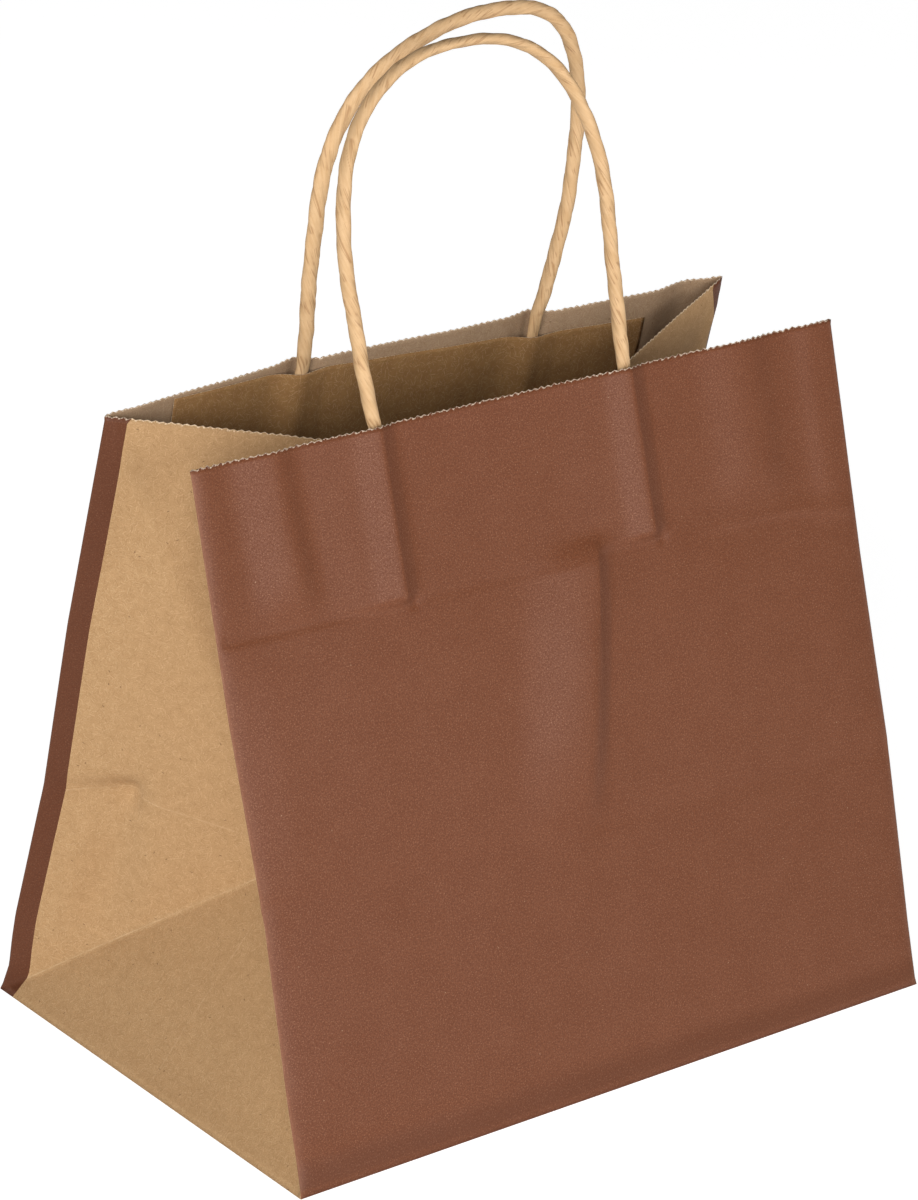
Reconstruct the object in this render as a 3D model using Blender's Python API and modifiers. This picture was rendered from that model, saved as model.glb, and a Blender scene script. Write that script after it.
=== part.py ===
"""A two-tone paper carrier bag with twisted paper handles, standing open.

The bag is one folded sheet: a printed front and back, plain gussets folded inwards between
them, and a flat bottom made of folded flaps. Two cord handles are held behind glued paper
patches inside the mouth. The origin is the middle of the base, on the ground. +Z is up, X runs
along the width, and the front faces -Y. Lengths are in metres.
"""

import math

import bmesh
import bpy
from mathutils import Vector

# The folded sheet, measured flat from fold to fold
BAG_WIDTH = 0.240
BAG_DEPTH = 0.161
SIDE_FOLD = 0.2143
PAPER = 0.0002
CLEARANCE = 0.0003

# How far the mouth stands open
MOUTH_DEPTH = 0.0476
MOUTH_SHIFT = 0.0019
BACK_CORNER_TUCK = 0.0032
BACK_BOW = 0.0075
BACK_BOW_SKEW = 0.66

# Creases left by folding the bag flat
FOOT_CREASE = 0.010
FOOT_FADE = 0.020
FOOT_PINCH = 0.0012
FOLD_REACH = 0.060
FOLD_PINCH = 0.0018
FOLD_DENT = 0.0005

# The toothed cut round the mouth
TOOTH_PITCH = 0.0024
TOOTH_HEIGHT = 0.0008
TOOTH_BAND = 0.0030

# The bottom flaps
FLAP_LAP = 0.012
FLAP_STEP = 0.0003

# The print that wraps round each back fold onto the gusset
PRINT_WRAP = 0.007

# The cord, and the ridge that it raises in the panel it lies behind
CORD_DIAMETER = 0.0044
RIDGE_HEIGHT = 0.0016
RIDGE_HALF_WIDTH = 0.0075
RIDGE_RAMP = 0.006
CORD_POINT_SPACING = 0.0055
CORD_BEND_LENGTH = 0.008

# The patches
PATCH_LENGTH = 0.182
PATCH_HEIGHT = 0.048
PATCH_INSET = 0.0055
CORD_END_MARGIN = 0.008
PATCH_CREASE_REACH = 0.012
PATCH_CREASE_DENT = 0.0004

# The handle's arch above its legs, as a rounded crown
CROWN_POWER = 2.4
CROWN_SKEW_POWER = 6

# How finely the shapes are divided
PANEL_SPANS = 4
LEG_SPANS = 11
LOOP_SPANS = 240
LEAST_SHOULDER = 0.0035

# Colours, roughness and metallic value
PRINTED_BROWN = ((0.235, 0.105, 0.068), 0.62, 0.0)
PLAIN_KRAFT = ((0.480, 0.290, 0.140), 0.85, 0.0)
CORD_KRAFT = ((0.650, 0.420, 0.200), 0.80, 0.0)

HALF_WIDTH = BAG_WIDTH / 2
HALF_DEPTH = BAG_DEPTH / 2
PATCH_BOTTOM = SIDE_FOLD - PATCH_INSET - PATCH_HEIGHT
CORD_END = PATCH_BOTTOM + CORD_END_MARGIN
CORD_RADIUS = CORD_DIAMETER / 2


def tent(value, peak, below, above):
    """1 at the peak, falling in straight lines to 0 at the two reaches."""
    reach = below if value < peak else above
    return max(0.0, 1.0 - abs(value - peak) / reach)


def bell(distance, half_width):
    """A rounded ridge: 1 on its line, 0 at half_width and beyond."""
    if abs(distance) >= half_width:
        return 0.0
    return math.cos(0.5 * math.pi * distance / half_width) ** 2


def ramp(value, start, length):
    """0 up to start, then a straight rise to 1."""
    return min(1.0, max(0.0, (value - start) / length))


def spread(first, last, count):
    """Evenly spaced values from first to last, both included."""
    return [first + (last - first) * i / (count - 1) for i in range(count)]


def drawn_in(point, height):
    """The point after the foot crease and the fold-up crease pull the wall inwards."""
    foot = FOOT_PINCH * tent(height, FOOT_CREASE, FOOT_CREASE, FOOT_FADE)
    fold = tent(height, HALF_DEPTH, FOLD_REACH, FOLD_REACH)
    patch = tent(height, PATCH_BOTTOM, PATCH_CREASE_REACH, PATCH_CREASE_REACH)
    across = foot + FOLD_PINCH * fold
    along = foot + FOLD_DENT * fold + PATCH_CREASE_DENT * patch
    return Vector((point.x * (1 - across / HALF_WIDTH), point.y * (1 - along / HALF_DEPTH), point.z))


class Handle:
    """The places of one handle's two legs and the form of its loop.

    widest is how far the loop stands out to the left and to the right of its middle.
    """

    def __init__(self, mouth_x, toe_x, widest, widest_height, rise, lean, skew):
        self.mouth_x = mouth_x
        self.toe_x = toe_x
        self.widest = widest
        self.widest_height = widest_height
        self.rise = rise
        self.lean = lean
        self.skew = skew

    def leg_x(self, side, height):
        """Where a leg lies across its panel: side 0 is the left leg, 1 the right."""
        share = (height - CORD_END) / (SIDE_FOLD - CORD_END)
        return self.toe_x[side] + (self.mouth_x[side] - self.toe_x[side]) * share

    def ridge(self, x, height):
        """0 to 1: how far the cord behind the paper pushes it out here."""
        legs = max(bell(x - self.leg_x(side, height), RIDGE_HALF_WIDTH) for side in (0, 1))
        return legs * ramp(height, PATCH_BOTTOM, RIDGE_RAMP)


class Panel:
    """The front or the back. facing is -1 for the front and +1 for the back."""

    def __init__(self, facing, mouth_y, corner_tuck, bow, patch_middle, patch_tilt, handle):
        self.facing = facing
        self.lean = math.asin((HALF_DEPTH - facing * mouth_y) / SIDE_FOLD)
        self.corner_tuck = corner_tuck
        self.bow = bow
        self.patch_middle = patch_middle
        self.patch_tilt = patch_tilt
        self.handle = handle
        self.outward = Vector((0.0, facing * math.cos(self.lean), math.sin(self.lean)))
        self.upward = Vector((0.0, -facing * math.sin(self.lean), math.cos(self.lean)))

    def flat_point(self, x, height):
        """A point of the panel before its creases, with height measured up the paper."""
        share = height / SIDE_FOLD
        across = x / BAG_WIDTH + 0.5
        skewed = across + BACK_BOW_SKEW * across * (1 - across)
        bowed = self.facing * self.bow * math.sin(math.pi * skewed) * share**2
        foot = Vector((x * (1 - self.corner_tuck / HALF_WIDTH * share), self.facing * HALF_DEPTH, 0.0))
        return foot + self.upward * height + Vector((0.0, bowed, 0.0))

    def point(self, x, height, inward=0.0):
        """A point at a depth inside the panel's outer face."""
        return drawn_in(self.flat_point(x, height), height) - self.outward * inward

    def face_point(self, x, height):
        """A point of the outer face, ridges included."""
        return self.point(x, height, -RIDGE_HEIGHT * self.handle.ridge(x, height))

    def columns(self, height, start=-HALF_WIDTH, end=HALF_WIDTH):
        """The places from start to end across the panel where its shape changes."""
        left = ridge_columns(self.handle.leg_x(0, height))
        right = ridge_columns(self.handle.leg_x(1, height))
        outer_left = spread(start, left[0], PANEL_SPANS + 1)[:-1]
        middle = spread(left[-1], right[0], PANEL_SPANS + 1)[1:-1]
        outer_right = spread(right[-1], end, PANEL_SPANS + 1)[1:]
        return outer_left + left + middle + right + outer_right


def ridge_columns(leg_x):
    """The places across one ridge."""
    return [leg_x + step * RIDGE_HALF_WIDTH for step in (-1.0, -0.6, -0.3, 0.0, 0.3, 0.6, 1.0)]


def meeting_point(first, first_length, second, second_length, third, third_length):
    """Where three lengths of paper from three points meet, on the side nearer the bag's middle."""
    along = (second - first).normalized()
    reach = (second - first).length
    offset = along.dot(third - first)
    across = (third - first - along * offset).normalized()
    rise = across.dot(third - first)
    x = (first_length**2 - second_length**2 + reach**2) / (2 * reach)
    y = (first_length**2 - third_length**2 + offset**2 + rise**2 - 2 * offset * x) / (2 * rise)
    z = math.sqrt(max(0.0, first_length**2 - x**2 - y**2))
    normal = along.cross(across)
    foot = first + along * x + across * y
    return min((foot + normal * z, foot - normal * z), key=lambda point: abs(point.x))


class Gusset:
    """A side wall, folded inwards on its centre line. side is -1 for the left, +1 for the right.

    The fold-up crease crosses it half the bag's depth above the base. Below that the paper
    stands as one triangle on the base edge, and above it each half folds in as a wing.
    """

    def __init__(self, side):
        self.side = side
        edge = side * HALF_WIDTH
        self.feet = [panel.flat_point(edge, 0.0) for panel in (FRONT, BACK)]
        self.bends = [panel.flat_point(edge, HALF_DEPTH) for panel in (FRONT, BACK)]
        self.tops = [panel.flat_point(edge, SIDE_FOLD) for panel in (FRONT, BACK)]
        diagonal = HALF_DEPTH * math.sqrt(2)
        self.apex = meeting_point(self.feet[0], diagonal, self.feet[1], diagonal, self.bends[0], HALF_DEPTH)
        self.tip = meeting_point(
            self.tops[0], HALF_DEPTH, self.tops[1], HALF_DEPTH, self.apex, SIDE_FOLD - HALF_DEPTH
        )

    def face_point(self, along, height):
        """A point of the outer face, along measured on the paper from the front fold."""
        end = 0 if along <= HALF_DEPTH else 1
        inset = min(along, BAG_DEPTH - along)
        if height >= HALF_DEPTH:
            point = self.wing_point(end, inset / HALF_DEPTH, (height - HALF_DEPTH) / (SIDE_FOLD - HALF_DEPTH))
        elif inset <= height:
            point = self.shoulder_point(end, inset / HALF_DEPTH, height / HALF_DEPTH)
        else:
            point = self.triangle_point(along / BAG_DEPTH, height / HALF_DEPTH)
        return drawn_in(point, height)

    def wing_point(self, end, inset, rise):
        """Above the fold-up crease: two triangles that meet on the line from apex to mouth corner."""
        bend, top = self.bends[end], self.tops[end]
        if inset + rise <= 1:
            return bend * (1 - inset - rise) + self.apex * inset + top * rise
        return self.apex * (1 - rise) + top * (1 - inset) + self.tip * (inset + rise - 1)

    def shoulder_point(self, end, inset, rise):
        """Between the standing fold and the diagonal crease."""
        return self.apex * inset + self.bends[end] * (rise - inset) + self.feet[end] * (1 - rise)

    def triangle_point(self, along, rise):
        """Below the diagonal creases."""
        back = along - rise / 2
        return self.apex * rise + self.feet[0] * (1 - rise - back) + self.feet[1] * back

    def half_columns(self, height):
        """The places from a fold to the centre line where the shape or the print changes."""
        if height < HALF_DEPTH:
            crease = height
        else:
            crease = HALF_DEPTH * (SIDE_FOLD - height) / (SIDE_FOLD - HALF_DEPTH)
        crease = max(crease, PRINT_WRAP + LEAST_SHOULDER)
        return [0.0, PRINT_WRAP] + spread(PRINT_WRAP, crease, 3)[1:] + spread(crease, HALF_DEPTH, 3)[1:]

    def columns(self, height):
        """The places across the gusset, front fold to back fold."""
        half = self.half_columns(height)
        return half + [BAG_DEPTH - inset for inset in reversed(half[:-1])]


FRONT_HANDLE = Handle(
    mouth_x=(-0.0547, 0.0381),
    toe_x=(-0.0545, 0.0388),
    widest=(0.0495, 0.0468),
    widest_height=0.0453,
    rise=0.1038,
    lean=math.radians(13),
    skew=0.0007,
)
BACK_HANDLE = Handle(
    mouth_x=(-0.0430, 0.0452),
    toe_x=(-0.0445, 0.0440),
    widest=(0.0445, 0.0486),
    widest_height=0.0481,
    rise=0.1048,
    lean=math.radians(-8),
    skew=0.0129,
)
FRONT = Panel(
    facing=-1,
    mouth_y=MOUTH_SHIFT - MOUTH_DEPTH / 2,
    corner_tuck=0.0,
    bow=0.0,
    patch_middle=-0.006,
    patch_tilt=-0.020,
    handle=FRONT_HANDLE,
)
BACK = Panel(
    facing=1,
    mouth_y=MOUTH_SHIFT + MOUTH_DEPTH / 2,
    corner_tuck=BACK_CORNER_TUCK,
    bow=BACK_BOW,
    patch_middle=-0.0015,
    patch_tilt=-0.045,
    handle=BACK_HANDLE,
)
LEFT = Gusset(-1)
RIGHT = Gusset(1)

# The walls in order round the bag, each with the way it is walked: 1 or -1 along its own measure
WALLS = ((FRONT, 1), (RIGHT, 1), (BACK, -1), (LEFT, -1))


def clear_scene():
    for old in list(bpy.data.objects):
        bpy.data.objects.remove(old, do_unlink=True)


def make_material(name, finish):
    colour, roughness, metallic = finish
    material = bpy.data.materials.new(name)
    material.use_nodes = True
    shader = material.node_tree.nodes["Principled BSDF"]
    shader.inputs["Base Color"].default_value = (*colour, 1.0)
    shader.inputs["Roughness"].default_value = roughness
    shader.inputs["Metallic"].default_value = metallic
    material.diffuse_color = (*colour, 1.0)
    return material


def add_solid(name, collection, mesh, materials):
    """An object from an open surface, with its paper added on the inner side."""
    solid = bpy.data.objects.new(name, mesh)
    collection.objects.link(solid)
    for material in materials:
        mesh.materials.append(material)
    sheet = solid.modifiers.new("Paper", "SOLIDIFY")
    sheet.thickness = PAPER
    sheet.offset = -1.0
    sheet.use_even_offset = True
    sheet.material_offset = len(materials) - 1
    sheet.material_offset_rim = len(materials) - 1
    return solid


def wall_row(bm, height):
    """One closed row of points round the bag, as a list of corner-to-corner runs."""
    runs = []
    for wall, way in WALLS:
        places = wall.columns(height)[::way]
        runs.append([bm.verts.new(wall.face_point(place, height)) for place in places[:-1]])
    return [run + [runs[(i + 1) % len(runs)][0]] for i, run in enumerate(runs)]


def tooth_row(bm):
    """The toothed edge round the mouth, as corner-to-corner runs: root, tip, root and so on."""
    runs = []
    for wall, way in WALLS:
        width = BAG_WIDTH if isinstance(wall, Panel) else BAG_DEPTH
        start = -HALF_WIDTH if isinstance(wall, Panel) else 0.0
        steps = 2 * max(2, round(width / TOOTH_PITCH))
        run = []
        for i in range(steps):
            place = start + width * (i if way > 0 else steps - i) / steps
            height = SIDE_FOLD if i % 2 else SIDE_FOLD - TOOTH_HEIGHT
            run.append(bm.verts.new(wall.face_point(place, height)))
        runs.append(run)
    return [run + [runs[(i + 1) % len(runs)][0]] for i, run in enumerate(runs)]


def is_printed(wall, way, share):
    """Whether the print covers this place: the panels, and a strip beside each back fold."""
    if isinstance(wall, Panel):
        return True
    from_front = share if way > 0 else 1 - share
    return from_front > 1 - PRINT_WRAP / BAG_DEPTH


def join_rows(bm, lower, upper):
    """Faces between two rows with the same number of points."""
    for (wall, way), low, high in zip(WALLS, lower, upper):
        last = len(low) - 1
        for i in range(last):
            face = bm.faces.new((low[i], low[i + 1], high[i + 1], high[i]))
            strip = i == (last - 1 if way > 0 else 0)
            printed = isinstance(wall, Panel) or strip
            face.material_index = 0 if printed else 1


def lace_rows(bm, lower, upper):
    """Triangles between a coarse row and the toothed row, each wall by itself."""
    for (wall, way), low, high in zip(WALLS, lower, upper):
        i = j = 0
        low_shares = run_shares(low)
        high_shares = run_shares(high)
        while i < len(low) - 1 or j < len(high) - 1:
            step_low = j == len(high) - 1
            if i < len(low) - 1 and not step_low:
                step_low = low_shares[i + 1] < high_shares[j + 1]
            share = high_shares[j]
            if step_low:
                face = bm.faces.new((low[i], low[i + 1], high[j]))
                i += 1
            else:
                face = bm.faces.new((low[i], high[j + 1], high[j]))
                j += 1
            face.material_index = 0 if is_printed(wall, way, share) else 1


def run_shares(run):
    """How far along its run each point lies, from 0 to 1."""
    total = [0.0]
    for before, after in zip(run, run[1:]):
        total.append(total[-1] + (after.co - before.co).length)
    return [length / total[-1] for length in total]


def close_bottom(bm, row):
    """The flaps: the front one laps over the back one, and both lie over the gussets' triangles."""
    front, right, back, left = row
    reach = HALF_WIDTH - HALF_DEPTH
    lap_reach = reach - FLAP_LAP
    low, middle, high = {}, {}, {}
    for side in (-1, 1):
        low[side] = bm.verts.new((side * reach, 0.0, 0.0))
        middle[side] = bm.verts.new((side * reach, 0.0, FLAP_STEP))
        high[side] = bm.verts.new((side * reach, 0.0, 2 * FLAP_STEP))
    raised = FLAP_STEP * (HALF_DEPTH - FLAP_LAP) / HALF_DEPTH
    lap_low = {side: bm.verts.new((side * lap_reach, FLAP_LAP, 0.0)) for side in (-1, 1)}
    lap_high = {side: bm.verts.new((side * lap_reach, FLAP_LAP, raised)) for side in (-1, 1)}
    printed = [
        bm.faces.new(front[::-1] + [low[-1], lap_low[-1], lap_low[1], low[1]]),
        bm.faces.new(back[::-1] + [middle[1], lap_high[1], lap_high[-1], middle[-1]]),
        bm.faces.new((low[-1], middle[-1], lap_high[-1], lap_low[-1])),
        bm.faces.new((lap_low[-1], lap_high[-1], lap_high[1], lap_low[1])),
        bm.faces.new((lap_low[1], lap_high[1], middle[1], low[1])),
    ]
    plain = [
        bm.faces.new(right[::-1] + [high[1]]),
        bm.faces.new(left[::-1] + [high[-1]]),
        bm.faces.new((front[0], high[-1], middle[-1], low[-1])),
        bm.faces.new((front[-1], low[1], middle[1], high[1])),
        bm.faces.new((back[-1], middle[-1], high[-1])),
        bm.faces.new((back[0], high[1], middle[1])),
    ]
    for face in printed:
        face.material_index = 0
    for face in plain:
        face.material_index = 1


def make_bag_body(collection, printed, kraft):
    """The whole folded sheet: four walls and the flaps of the bottom."""
    heights = [
        0.0,
        FOOT_CREASE,
        FOOT_CREASE + FOOT_FADE,
        HALF_DEPTH,
        HALF_DEPTH + FOLD_REACH,
        PATCH_BOTTOM - PATCH_CREASE_REACH,
        PATCH_BOTTOM,
        PATCH_BOTTOM + RIDGE_RAMP,
        PATCH_BOTTOM + PATCH_CREASE_REACH,
        PATCH_BOTTOM + PATCH_HEIGHT / 2,
        SIDE_FOLD - PATCH_INSET,
        SIDE_FOLD - TOOTH_BAND,
    ]
    bm = bmesh.new()
    rows = [wall_row(bm, height) for height in sorted(heights)]
    for lower, upper in zip(rows, rows[1:]):
        join_rows(bm, lower, upper)
    lace_rows(bm, rows[-1], tooth_row(bm))
    close_bottom(bm, rows[0])
    bmesh.ops.triangulate(bm, faces=[face for face in bm.faces if len(face.verts) > 4])
    mesh = bpy.data.meshes.new("bag_body")
    bm.to_mesh(mesh)
    bm.free()
    return add_solid("bag_body", collection, mesh, (printed, kraft))


def make_patch(name, collection, panel, kraft):
    """A glued paper strip over the ends of one handle, with a raised channel over each leg."""
    handle = panel.handle
    start = panel.patch_middle - PATCH_LENGTH / 2
    end = panel.patch_middle + PATCH_LENGTH / 2
    channel = CORD_DIAMETER + CLEARANCE - RIDGE_HEIGHT
    levels = (0.0, RIDGE_RAMP, PATCH_HEIGHT / 2, PATCH_HEIGHT)
    bm = bmesh.new()
    rows = []
    for level in levels:
        height = PATCH_BOTTOM + level
        row = []
        for place in panel.columns(height, start, end):
            tilted = height + panel.patch_tilt * (place - panel.patch_middle)
            depth = PAPER + CLEARANCE + channel * handle.ridge(place, height)
            row.append(bm.verts.new(panel.point(place, tilted, depth)))
        rows.append(row)
    for lower, upper in zip(rows, rows[1:]):
        for i in range(len(lower) - 1):
            corners = (lower[i], lower[i + 1], upper[i + 1], upper[i])
            bm.faces.new(corners if panel.facing < 0 else corners[::-1])
    mesh = bpy.data.meshes.new(name)
    bm.to_mesh(mesh)
    bm.free()
    return add_solid(name, collection, mesh, (kraft,))


def loop_points(handle, panel, left, right):
    """The arch above the mouth, from the left leg over the crown to the right leg."""
    across = (right - left).normalized()
    foot = (right - left).length / 2
    lean = Vector((0.0, math.sin(handle.lean), math.cos(handle.lean)))
    upward = (lean - across * lean.dot(across)).normalized()
    bend = panel.upward.y - upward.y
    crown = handle.rise - handle.widest_height
    points = []
    for angle in spread(-1.0, 1.0, LOOP_SPANS + 1):
        share = abs(angle)
        widest = handle.widest[0 if angle < 0 else 1]
        if share > 0.5:
            height = handle.widest_height * 2 * (1 - share)
            swell = math.sin(0.5 * math.pi * height / handle.widest_height)
            half = foot + (widest - foot) * swell
        else:
            turn = math.pi * share
            half = widest * math.sin(turn) ** (2 / CROWN_POWER)
            height = handle.widest_height + crown * math.cos(turn) ** (2 / CROWN_POWER)
        sideways = math.copysign(half, angle) + handle.skew * (height / handle.rise) ** CROWN_SKEW_POWER
        settle = bend * CORD_BEND_LENGTH * (1 - math.exp(-height / CORD_BEND_LENGTH))
        middle = (left + right) / 2
        points.append(middle + across * sideways + upward * height + Vector((0.0, settle, 0.0)))
    return points


def handle_route(panel):
    """The cord's middle line, from one hidden end over the loop to the other."""
    handle = panel.handle
    depth = PAPER + CLEARANCE + CORD_RADIUS - RIDGE_HEIGHT
    heights = spread(CORD_END, SIDE_FOLD, LEG_SPANS + 1)
    left = [panel.point(handle.leg_x(0, height), height, depth) for height in heights]
    right = [panel.point(handle.leg_x(1, height), height, depth) for height in heights]
    return left[:-1] + loop_points(handle, panel, left[-1], right[-1]) + right[-2::-1]


def even_points(points, spacing):
    """The same line with its points evenly apart."""
    lengths = [0.0]
    for before, after in zip(points, points[1:]):
        lengths.append(lengths[-1] + (after - before).length)
    count = max(2, round(lengths[-1] / spacing)) + 1
    result = []
    i = 0
    for target in spread(0.0, lengths[-1], count):
        while i < len(points) - 2 and lengths[i + 1] < target:
            i += 1
        share = (target - lengths[i]) / max(lengths[i + 1] - lengths[i], 1e-9)
        result.append(points[i].lerp(points[i + 1], min(1.0, share)))
    return result


def make_handle(name, collection, panel, kraft):
    """One length of cord, bent into a loop."""
    points = even_points(handle_route(panel), CORD_POINT_SPACING)
    curve = bpy.data.curves.new(name, "CURVE")
    curve.dimensions = "3D"
    curve.bevel_depth = CORD_RADIUS
    curve.bevel_resolution = 2
    curve.use_fill_caps = True
    line = curve.splines.new("POLY")
    line.points.add(len(points) - 1)
    for target, point in zip(line.points, points):
        target.co = (*point, 1.0)
    line.use_smooth = True
    cord = bpy.data.objects.new(name, curve)
    cord.data.materials.append(kraft)
    collection.objects.link(cord)
    return cord


def main():
    clear_scene()
    bag = bpy.data.collections.new("paper_carrier_bag")
    bpy.context.scene.collection.children.link(bag)
    printed = make_material("printed_brown_paper", PRINTED_BROWN)
    kraft = make_material("plain_kraft_paper", PLAIN_KRAFT)
    patch_kraft = make_material("patch_kraft_paper", PLAIN_KRAFT)
    cord_kraft = make_material("twisted_paper_cord", CORD_KRAFT)
    make_bag_body(bag, printed, kraft)
    for name, panel in (("front", FRONT), ("back", BACK)):
        make_patch(name + "_handle_patch", bag, panel, patch_kraft)
        make_handle(name + "_handle", bag, panel, cord_kraft)


main()
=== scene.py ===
"""A two-tone brown paper carrier bag with twisted paper handles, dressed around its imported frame."""
import math
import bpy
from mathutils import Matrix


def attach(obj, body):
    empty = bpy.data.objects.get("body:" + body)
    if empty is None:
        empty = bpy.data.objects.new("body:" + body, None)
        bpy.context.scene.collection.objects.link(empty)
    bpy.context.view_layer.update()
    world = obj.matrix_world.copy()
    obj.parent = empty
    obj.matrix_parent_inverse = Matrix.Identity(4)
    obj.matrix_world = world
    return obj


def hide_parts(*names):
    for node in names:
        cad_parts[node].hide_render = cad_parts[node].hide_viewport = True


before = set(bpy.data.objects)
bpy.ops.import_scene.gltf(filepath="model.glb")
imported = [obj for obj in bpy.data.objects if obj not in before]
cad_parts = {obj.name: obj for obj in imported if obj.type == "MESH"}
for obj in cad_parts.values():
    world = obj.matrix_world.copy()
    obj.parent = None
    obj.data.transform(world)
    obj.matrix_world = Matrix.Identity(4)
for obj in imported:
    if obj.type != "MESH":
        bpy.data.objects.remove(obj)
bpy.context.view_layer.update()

from types import SimpleNamespace

import bmesh
import bpy
from mathutils import Matrix, Vector, noise

# The folded sheet, in metres
BAG_WIDTH = 0.240
BAG_DEPTH = 0.161
SIDE_FOLD = 0.2143
PAPER = 0.0002
HALF_WIDTH = BAG_WIDTH / 2
HALF_DEPTH = BAG_DEPTH / 2

# How far the mouth stands open
MOUTH_DEPTH = 0.0476
MOUTH_SHIFT = 0.0019
BACK_CORNER_TUCK = 0.0032
BACK_BOW = 0.0075
BACK_BOW_SKEW = 0.66

# Creases from folding the bag flat, and how far they draw the walls in
FOOT_CREASE = 0.010
FOOT_FADE = 0.020
FOOT_PINCH = 0.0008
FOLD_REACH = 0.060
FOLD_PINCH = 0.0018
FOLD_DENT = 0.0005
STRAIGHTER = 1.6
STRAIGHT_SIDE = 0.045
FOLD_STEP = 0.0006
FOLD_STRIP = 0.0034
FOLD_TILT = 0.033
# Width of the painted sheen beside each side fold.
FOLD_SHEEN_STRIP = 0.0032

# Creases across a panel, as (depth, reach below, reach above)
PATCH_CREASE = (0.0007, 0.0022, 0.0060)
FOLD_UP_CREASE = (0.00035, 0.0022, 0.0050)
FOOT_RELIEF = (0.0007, 0.0071, 0.0040)
EDGE_DROOP = 0.0045

# The slack of the paper, as (height, waves per metre), and the bulge of a panel
PANEL_SLACK = ((0.00040, 22), (0.00014, 60))
GUSSET_SLACK = ((0.0008, 20), (0.00025, 55))
UPPER_BELLY = 0.0009
LOWER_BELLY = 0.0005
PANEL_MARGIN = 0.016
GUSSET_MARGIN = 0.012

# The toothed cut, the bottom flaps and the strip of print round each back fold
TOOTH_HEIGHT = 0.0008
TOOTH_FRAY = 0.0003
TOOTH_BAND = 0.0022
FLAP_LAP = 0.012
FLAP_STEP = 0.0003
PRINT_WRAP = 0.0071

# The cords and their patches
CORD_RADIUS = 0.0022
RIDGE_HEIGHT = 0.0030
RIDGE_SETTLE = 0.0009
RIDGE_LEFT = 0.0110
RIDGE_SWELL = 0.0340
RIDGE_RIGHT = 0.0072
RIDGE_RAMP = 0.003
SWELL_SHARE = 0.45
TOE_DENT = 0.0007
TOE_DENT_PLACE = (0.0042, 0.0005)
TOE_DENT_SIZE = (0.0028, 0.0035)
PATCH_LENGTH = 0.182
PATCH_HEIGHT = 0.048
PATCH_INSET = 0.0055
PATCH_BOTTOM = SIDE_FOLD - PATCH_INSET - PATCH_HEIGHT
PATCH_TOP = PATCH_BOTTOM + PATCH_HEIGHT
PATCH_GAP = 0.0003
CHANNEL_REACH = 0.0120
CORD_DEPTH = 0.0011
PRESSED_FLAT = 0.60
PRESSED_REACH = (0.012, 0.006)
CHANNEL_ROOM = 0.58
PATCH_ROWS = 32
PATCH_COLUMNS = 152
PATCH_WAVE = 0.0004
CORD_END = PATCH_BOTTOM + 0.008
CROWN_POWER = 2.4
CROWN_SKEW_POWER = 6
CORD_BEND_LENGTH = 0.008
HIDDEN_POINTS = 12
LOOP_POINTS = 241

# Where the left gusset's back half is pinched
PINCH_INSET = 0.0275
PINCH_HEIGHT = 0.0854
PINCH_START = 0.0785
PINCH_DEPTH = 0.0026
PINCH_REACH = 0.009
PINCH_CREASE = (0.0005, 0.0036)
PINCH_CREASE_REACH = (0.018, 0.0065)

# Hollows beside it, as (depth, inset, half width, rising from, to, falling from, to)
GUSSET_HOLLOWS = (
    (0.0030, 0.026, 0.013, 0.026, 0.045, 0.062, 0.084),
    (0.0022, 0.016, 0.018, 0.150, 0.172, 0.195, 0.210),
)

# The cord's twist, and its creases as (place round the cord, depth, half width)
TWIST_PITCH = -0.034
CORD_CREASES = (
    (0.0, 0.13, 0.12),
    (0.8, 0.08, 0.09),
    (1.6, 0.05, 0.08),
    (2.3, 0.11, 0.11),
    (3.1, 0.06, 0.09),
    (3.9, 0.12, 0.11),
    (4.7, 0.06, 0.08),
    (5.5, 0.09, 0.10),
)
CREASE_WANDER = 0.5
CREASE_SHOWS = (-0.1, 0.35)
CORD_FULLNESS = 0.99
BROAD_FACETS = 0.045
FINE_FACETS = 0.015
CORD_UNEVEN = 0.04
CORD_WANDER = 0.00045
WANDERS_PER_METRE = 42
CORD_STEP = 0.0008
CORD_SIDES = 72

# The studio, with its lights as (name, place, size, watts)
BRIGHT_SIDE = (-0.80, -0.60, 0.0)
WALL_LIGHT = 0.52
BACK_LIGHT = 0.12
CEILING_LIGHT = 0.12
FLOOR_GLOW = 0.46
FLOOR_GLOW_SEEN = 0.86
LIGHT_AIM = (0.0, 0.0, 0.12)
LIGHTS = (
    ("key_light", (-1.62, -1.45, 0.85), 1.2, 44.0),
    ("front_light", (0.25, -2.10, 0.50), 1.0, 17.0),
)
FLOOR_SIZE = 8.0
CAMERA_PLACE = (-0.82025, -1.03913, 0.67636)
CAMERA_AIM = (-0.0055, 0.0, 0.1327)
CAMERA_ROLL = 1.673
CAMERA_LENS = 141.3

# Tones of the papers, as linear red, green and blue, or light and dark pairs of them
INK = (0.158, 0.051, 0.0215)
INK_THIN = (0.168, 0.056, 0.0245)
INK_DEEP = (0.095, 0.028, 0.011)
# Painted shade along the foot of the panels.
INK_FOOT_SHADE = (0.095, 0.029, 0.011)
# Painted shade on the print strips that wrap onto the gussets.
INK_GUSSET_SHADE = (0.085, 0.026, 0.010)
INK_FLECK = (0.34, 0.165, 0.095)
INK_FIBRE = (0.33, 0.15, 0.085)
INK_RUBBED = (0.40, 0.20, 0.12)
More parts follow.
